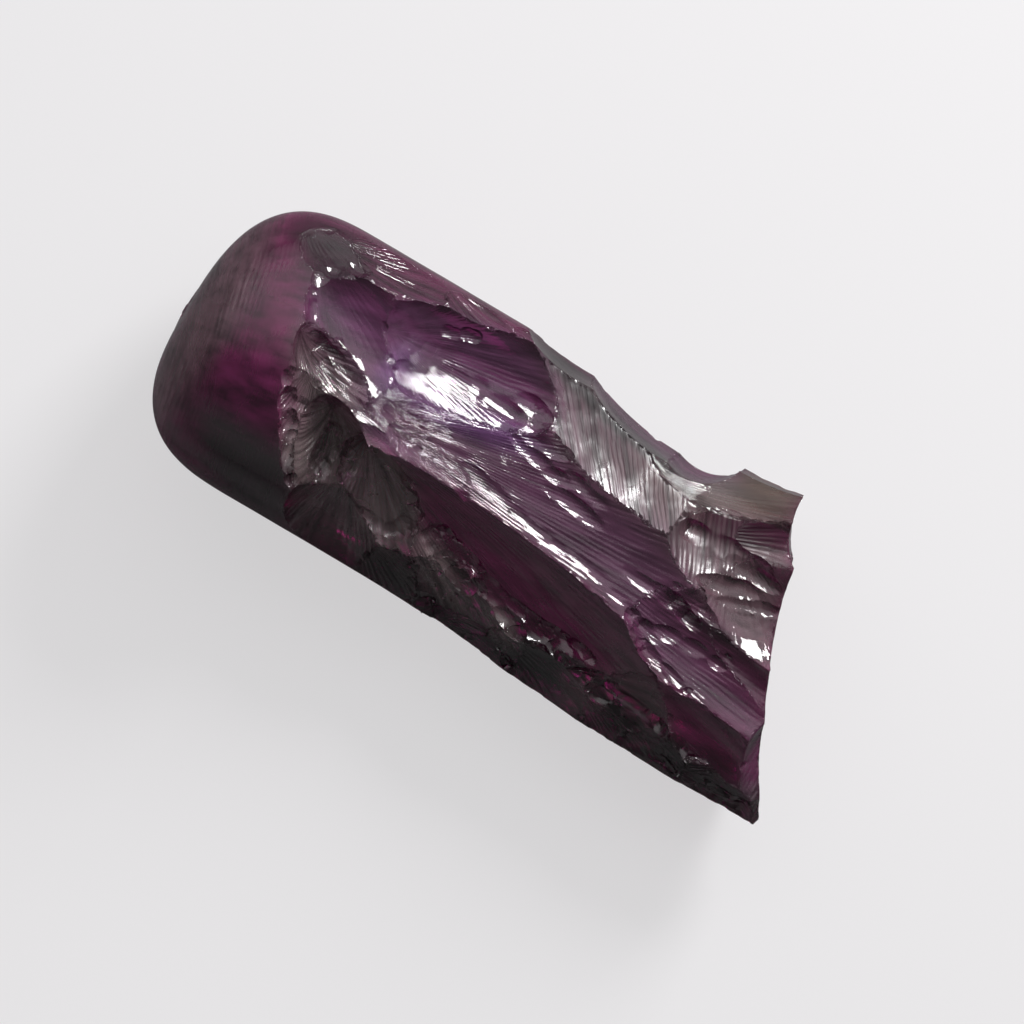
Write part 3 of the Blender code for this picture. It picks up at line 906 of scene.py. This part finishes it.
@dataclass
class Crystal:
    """The stone itself: its mesh, fitted, chipped and roughened, and its finish."""

    name: str = "crystal_surface"
    node: str = "crystal"
    cell: float = 0.285
    fine_from_height: float = 4.6
    surface: Surface = field(default_factory=lambda: Surface(RodSkin(), BREAKS))
    edge_chips: ChipSet = field(default_factory=lambda: ChipSet(
        "edge_chip", 460, 0.6, 1.6, 0.010, 0.035, 0.14, 0.45, 0.60, 4, 0.30, 0.5, 0.4))
    glint_seed: int = 9
    crags: ChipSet = field(default_factory=lambda: ChipSet(
        "crag", 90, 1.0, 3.0, 0.02, 0.06, 0.20, 0.35, 0.6, 5, 0.18, 0.34, 0.45))
    parents: Array = field(default_factory=lambda: np.zeros(0, int))
    finish: CrystalFinish = field(default_factory=CrystalFinish)
    skin_frost: float = 0.09
    base_frost: float = 0.7
    plain_comb: float = 0.04
    nose_comb: float = 0.16
    nose_from: float = -17.5
    nose_fade: float = 3.5
    thorn_turns: int = 4
    soft_width: float = 0.30
    crisp_width: float = 0.08
    smooth_angle: float = math.radians(24.0)

    def copy_node(self, source: bpy.types.Object) -> bpy.types.Object:
        """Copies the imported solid's mesh and merges its loose triangles."""
        for other in bpy.context.scene.objects:
            other.select_set(False)
        mesh = source.data.copy()
        mesh.name = self.name
        mesh.materials.clear()
        stone = bpy.data.objects.new(self.name, mesh)
        bpy.context.scene.collection.objects.link(stone)
        bpy.context.view_layer.objects.active = stone
        stone.select_set(True)
        bpy.ops.object.mode_set(mode="EDIT")
        bpy.ops.mesh.select_all(action="SELECT")
        bpy.ops.mesh.remove_doubles(threshold=2e-6)
        bpy.ops.object.mode_set(mode="OBJECT")
        return stone

    def refine(self, stone: bpy.types.Object) -> None:
        """Lays an even fine mesh over the solid, finer still on its upper side."""
        longest = max(stone.dimensions)
        modifier = stone.modifiers.new("even_mesh", "REMESH")
        modifier.mode = "SHARP"
        modifier.octree_depth = 8
        modifier.scale = longest / (self.cell * MM * 256.0)
        modifier.sharpness = 1.0
        modifier.use_remove_disconnected = False
        bpy.ops.object.modifier_apply(modifier=modifier.name)
        mesh = stone.data
        height = rows_of(mesh.polygons, "center")[:, 2]
        upward = rows_of(mesh.polygons, "normal")[:, 2]
        picked = (height > self.fine_from_height * MM) & (upward > -0.1)
        bpy.ops.object.mode_set(mode="EDIT")
        bpy.ops.mesh.select_mode(type="FACE")
        bpy.ops.mesh.select_all(action="DESELECT")
        bpy.ops.object.mode_set(mode="OBJECT")
        mesh.polygons.foreach_set("select", picked)
        bpy.ops.object.mode_set(mode="EDIT")
        bpy.ops.mesh.subdivide(number_cuts=1)
        bpy.ops.object.mode_set(mode="OBJECT")

    def shape(self, stone: bpy.types.Object) -> None:
        """Fits the mesh to the curved surface, then chips the ridges and roughens the breaks."""
        mesh = stone.data
        points = rows_of(mesh.vertices, "co") / MM
        points[:, 0] -= self.surface.shift
        points = self.settle(mesh, points, 3)
        pair, _ = self.surface.nearest_two(points, self.surface.reliefs(points))
        self.parents = pair[:, 0]
        outward = -self.surface.directions(points, self.parents)
        craggy = np.zeros(len(points), bool)
        run = np.tile((1.0, 0.0, 0.0), (len(points), 1))
        for number, item in enumerate(self.surface.breaks):
            here = self.parents == number + 2
            craggy |= here & (item.fracture is SPLINTERED)
            run[here] = points[here] - item.start()
        run -= np.einsum("ij,ij->i", run, outward)[:, None] * outward
        run /= np.linalg.norm(run, axis=1, keepdims=True) + 1e-9
        chips = self.crags.place(points[craggy], outward[craggy], run[craggy])
        spots, ways, along = self.surface.ridges(points, 0.04)
        chips += self.edge_chips.place(spots, ways, along)
        random = np.random.default_rng(self.glint_seed)
        for number, row in enumerate(GLINT_ROWS):
            chips += row.place(points, f"glint_{number}", random)
        self.surface.chips = chips
        self.surface.gather()
        points = self.settle(mesh, points, 4)
        points = self.tame(mesh, points)
        self.mark(mesh, points)
        points[:, 0] += self.surface.shift
        mesh.vertices.foreach_set("co", (points * MM).ravel())
        mesh.update()
        LOG.info("%d chips on the ridges and rough breaks", len(chips))

    def settle(self, mesh: bpy.types.Mesh, points: Array, rounds: int) -> Array:
        """Fits points to the surface, evens out their spacing, and fits them again."""
        points = self.surface.fit(points, self.cell * 0.5, rounds)
        return self.surface.fit(self.relax(mesh, points), self.cell * 0.5, rounds)

    def relax(self, mesh: bpy.types.Mesh, points: Array, turns: int = 3) -> Array:
        """Evens out the mesh's spacing, away from the ridges.

        Args:
            mesh: the mesh whose edges join the points.
            points: its vertices' places.
            turns: how many times to average.

        Returns:
            The moved points.
        """
        ends = rows_of(mesh.edges, "vertices", 2, np.int64)
        pair, depth = self.surface.nearest_two(points, self.surface.reliefs(points))
        cosine = self.surface.both_ways(points, pair)[2]
        sine = np.sqrt(np.clip(1.0 - cosine**2, 1e-6, 1.0))
        free = ((depth[:, 1] - depth[:, 0]) / sine > 0.08) | (sine < 0.2)
        points = points.copy()
        for _ in range(turns):
            points[free] += 0.5 * (neighbour_middles(points, ends) - points)[free]
        return points

    def tame(self, mesh: bpy.types.Mesh, points: Array, furthest: float = 0.13) -> Array:
        """Moves vertices that stand out as thorns back between their neighbours.

        Args:
            mesh: the mesh whose edges join the points.
            points: its vertices' places.
            furthest: how far a vertex may stand from the middle of its neighbours.

        Returns:
            The moved points.
        """
        ends = rows_of(mesh.edges, "vertices", 2, np.int64)
        points = points.copy()
        for _ in range(self.thorn_turns):
            middle = neighbour_middles(points, ends)
            thorn = np.linalg.norm(middle - points, axis=1) > furthest
            points[thorn] = middle[thorn]
        LOG.info("%d thorns left", int(thorn.sum()))
        return points

    def mark(self, mesh: bpy.types.Mesh, points: Array) -> None:
        """Writes where the surface is skin, frosted or combed, and its tint with painted shade and light, as
        attributes.
        """
        nearest = self.parents
        grain = np.zeros((len(points), 3))
        grain[:, 1], grain[:, 0] = turned(points, SKIN_TURN)
        for number, item in enumerate(self.surface.breaks):
            here = nearest == number + 2
            if here.any():
                grain[here, :2] = self.surface.run_of(item, points[here])
                grain[here, 2] = number * 3.7
        gaps = self.surface.main_gaps(points)
        gaps -= gaps.min(axis=1, keepdims=True)
        soft, crisp = np.exp(-gaps / self.soft_width), np.exp(-gaps / self.crisp_width)
        soft /= soft.sum(axis=1, keepdims=True)
        crisp /= crisp.sum(axis=1, keepdims=True)
        grains = [item.fracture.value for item in self.surface.breaks]
        # The base takes the dark tone, painted shade under the stone.
        tones = [WINE.value, DARK.value] + [item.tone.value for item in self.surface.breaks]
        tint = soft @ np.array(tones)
        frost = crisp @ np.array([self.skin_frost, self.base_frost] + [one.frost for one in grains])
        comb = crisp @ np.array([self.plain_comb, self.plain_comb] + [one.comb for one in grains])
        on_nose = np.clip((self.nose_from - points[:, 0]) / self.nose_fade, 0.0, 1.0)
        comb += crisp[:, 0] * self.nose_comb * on_nose
        # The patches paint shade and light into the tint.
        for shade in SHADES:
            share = shade.share(points)[:, None]
            tint = tint * (1.0 - share) + np.array(shade.tone.value) * share
        rgba = np.ones((len(points), 4))
        rgba[:, :3] = tint
        for name, kind, part, values in (("frost", "FLOAT", "value", frost), ("comb", "FLOAT", "value", comb),
                                         ("grain", "FLOAT_VECTOR", "vector", grain),
                                         ("tint", "FLOAT_COLOR", "color", rgba)):
            attribute = mesh.attributes.new(name, kind, "POINT")
            attribute.data.foreach_set(part, values.astype(np.float32).ravel())

    def dress(self, stone: bpy.types.Object) -> None:
        """Shades the curved parts smooth and the ridges sharp, and gives the finish."""
        stone.data.materials.append(self.finish.build())
        bpy.ops.object.shade_smooth_by_angle(angle=self.smooth_angle)

    def build(self, source: bpy.types.Object) -> bpy.types.Object:
        """Makes the whole stone.

        Args:
            source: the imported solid.

        Returns:
            The dressed stone, riding on the root body.
        """
        stone = self.copy_node(source)
        self.refine(stone)
        self.shape(stone)
        self.dress(stone)
        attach(stone, "root")
        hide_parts(self.node)
        stone.data.calc_loop_triangles()
        LOG.info("%s: %d vertices, %d triangles", stone.name, len(stone.data.vertices),
                 len(stone.data.loop_triangles))
        return stone


@dataclass
class Studio:
    """The pale floor, the soft lights and the camera above the stone."""

    pixels_per_mm: float = 16.23
    picture: int = 1024
    centre: tuple[float, float] = (0.44, -0.56)
    right: tuple[float, float] = (0.862, 0.507)
    camera_height: float = 300.0
    floor_half: float = 1500.0
    key_bearing: float = 80.0
    key_height: float = 28.0
    key_distance: float = 260.0
    key_size: float = 92.0
    key_energy: float = 0.72
    bright_bearing: float = 105.0
    bright_range: tuple[float, float] = (0.02, 0.60)
    fill_bearing: float = -110.0
    fill_range: tuple[float, float] = (0.68, 0.95)
    fill_surround: float = 0.2
    dim_surround: float = 0.12
    bright_surround: float = 1.1
    floor_glow: float = 0.58
    backdrop: float = 0.86

    def floor(self) -> bpy.types.Object:
        """A plain pale floor under the stone."""
        bpy.ops.mesh.primitive_plane_add(size=2.0 * self.floor_half * MM, location=(0.0, 0.0, -0.00002))
        floor = bpy.context.object
        floor.name = "floor"
        material = bpy.data.materials.new("pale_floor")
        material.use_nodes = True
        nodes = Nodes(material.node_tree)
        seen = nodes.add("ShaderNodeLightPath").outputs["Is Camera Ray"]
        nodes.fill(material.node_tree.nodes["Principled BSDF"], {
            "Base Color": (0.26, 0.255, 0.26, 1.0),
            "Roughness": 0.9,
            "Emission Color": (1.0, 0.99, 1.0, 1.0),
            "Emission Strength": nodes.math("MULTIPLY", seen, self.floor_glow),
        })
        floor.data.materials.append(material)
        return floor

    def key(self) -> None:
        """A square soft light that faces the stone."""
        light = bpy.data.lights.new("key", "AREA")
        light.energy = self.key_energy
        light.size = self.key_size * MM
        lamp = bpy.data.objects.new("key", light)
        bpy.context.scene.collection.objects.link(lamp)
        bearing, height = math.radians(self.key_bearing), math.radians(self.key_height)
        across = math.cos(height)
        towards = Vector((math.cos(bearing) * across, math.sin(bearing) * across, math.sin(height)))
        lamp.location = towards * self.key_distance * MM
        lamp.rotation_euler = towards.to_track_quat("Z", "Y").to_euler()
        lamp.visible_camera = False

    def lights(self) -> None:
        """A compact key and a surround that is bright on one side and dim on the other."""
        self.key()
        world = bpy.data.worlds.new("surround")
        bpy.context.scene.world = world
        world.use_nodes = True
        nodes = Nodes(world.node_tree)
        back = world.node_tree.nodes["Background"]
        way = nodes.add("ShaderNodeTexCoord").outputs["Generated"]
        across = math.radians(self.bright_bearing), math.radians(self.fill_bearing)
        bright = self._lobe(nodes, way, (math.cos(across[0]), math.sin(across[0]), 0.0), self.bright_range)
        fill = self._lobe(nodes, way, (math.cos(across[1]), math.sin(across[1]), 0.0), self.fill_range)
        risen = nodes.spread(self._lobe(nodes, way, (0.0, 0.0, 1.0), (0.0, 0.4)), 0.0, 1.0, 0.35, 1.0)
        strength = nodes.math("MULTIPLY", bright, self.bright_surround - self.dim_surround)
        strength = nodes.math("ADD", strength, nodes.math("MULTIPLY", fill, self.fill_surround))
        strength = nodes.math("ADD", nodes.math("MULTIPLY", strength, risen), self.dim_surround)
        seen = nodes.add("ShaderNodeLightPath").outputs["Is Camera Ray"]
        shown = nodes.blend(seen, strength, self.backdrop)
        nodes.fill(back, {"Strength": shown, "Color": (1.0, 0.985, 1.0, 1.0)})

    def _lobe(self, nodes: Nodes, way: object, towards: Triple,
              within: tuple[float, float]) -> Socket:
        """A share that grows smoothly from 0 to 1 towards one side of the surround."""
        share = nodes.add("ShaderNodeVectorMath", {0: way, 1: towards}, operation="DOT_PRODUCT")
        return nodes.spread(share.outputs["Value"], *within, interpolation_type="SMOOTHSTEP")

    def camera(self) -> None:
        """A camera straight above, turned as the photograph is."""
        data = bpy.data.cameras.new("camera")
        data.type = "ORTHO"
        data.ortho_scale = self.picture / self.pixels_per_mm * MM
        holder = bpy.data.objects.new("camera", data)
        bpy.context.scene.collection.objects.link(holder)
        right = Vector((*self.right, 0.0)).normalized()
        up = Vector((-right.y, right.x, 0.0))
        turn = Matrix((right, up, Vector((0.0, 0.0, 1.0)))).transposed()
        place = Vector((self.centre[0], self.centre[1], self.camera_height)) * MM
        holder.matrix_world = Matrix.Translation(place) @ turn.to_4x4()
        bpy.context.scene.camera = holder

    def build(self) -> None:
        """Sets the floor, lights and camera."""
        self.floor()
        self.lights()
        self.camera()
        bpy.context.scene.view_settings.view_transform = "Standard"


def main() -> None:
    """Builds the stone and its studio."""
    logging.basicConfig(level=logging.INFO, format="%(message)s")
    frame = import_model()
    Crystal().build(frame["nodes"]["crystal"])
    Studio().build()


if __name__ == "__main__":
    main()
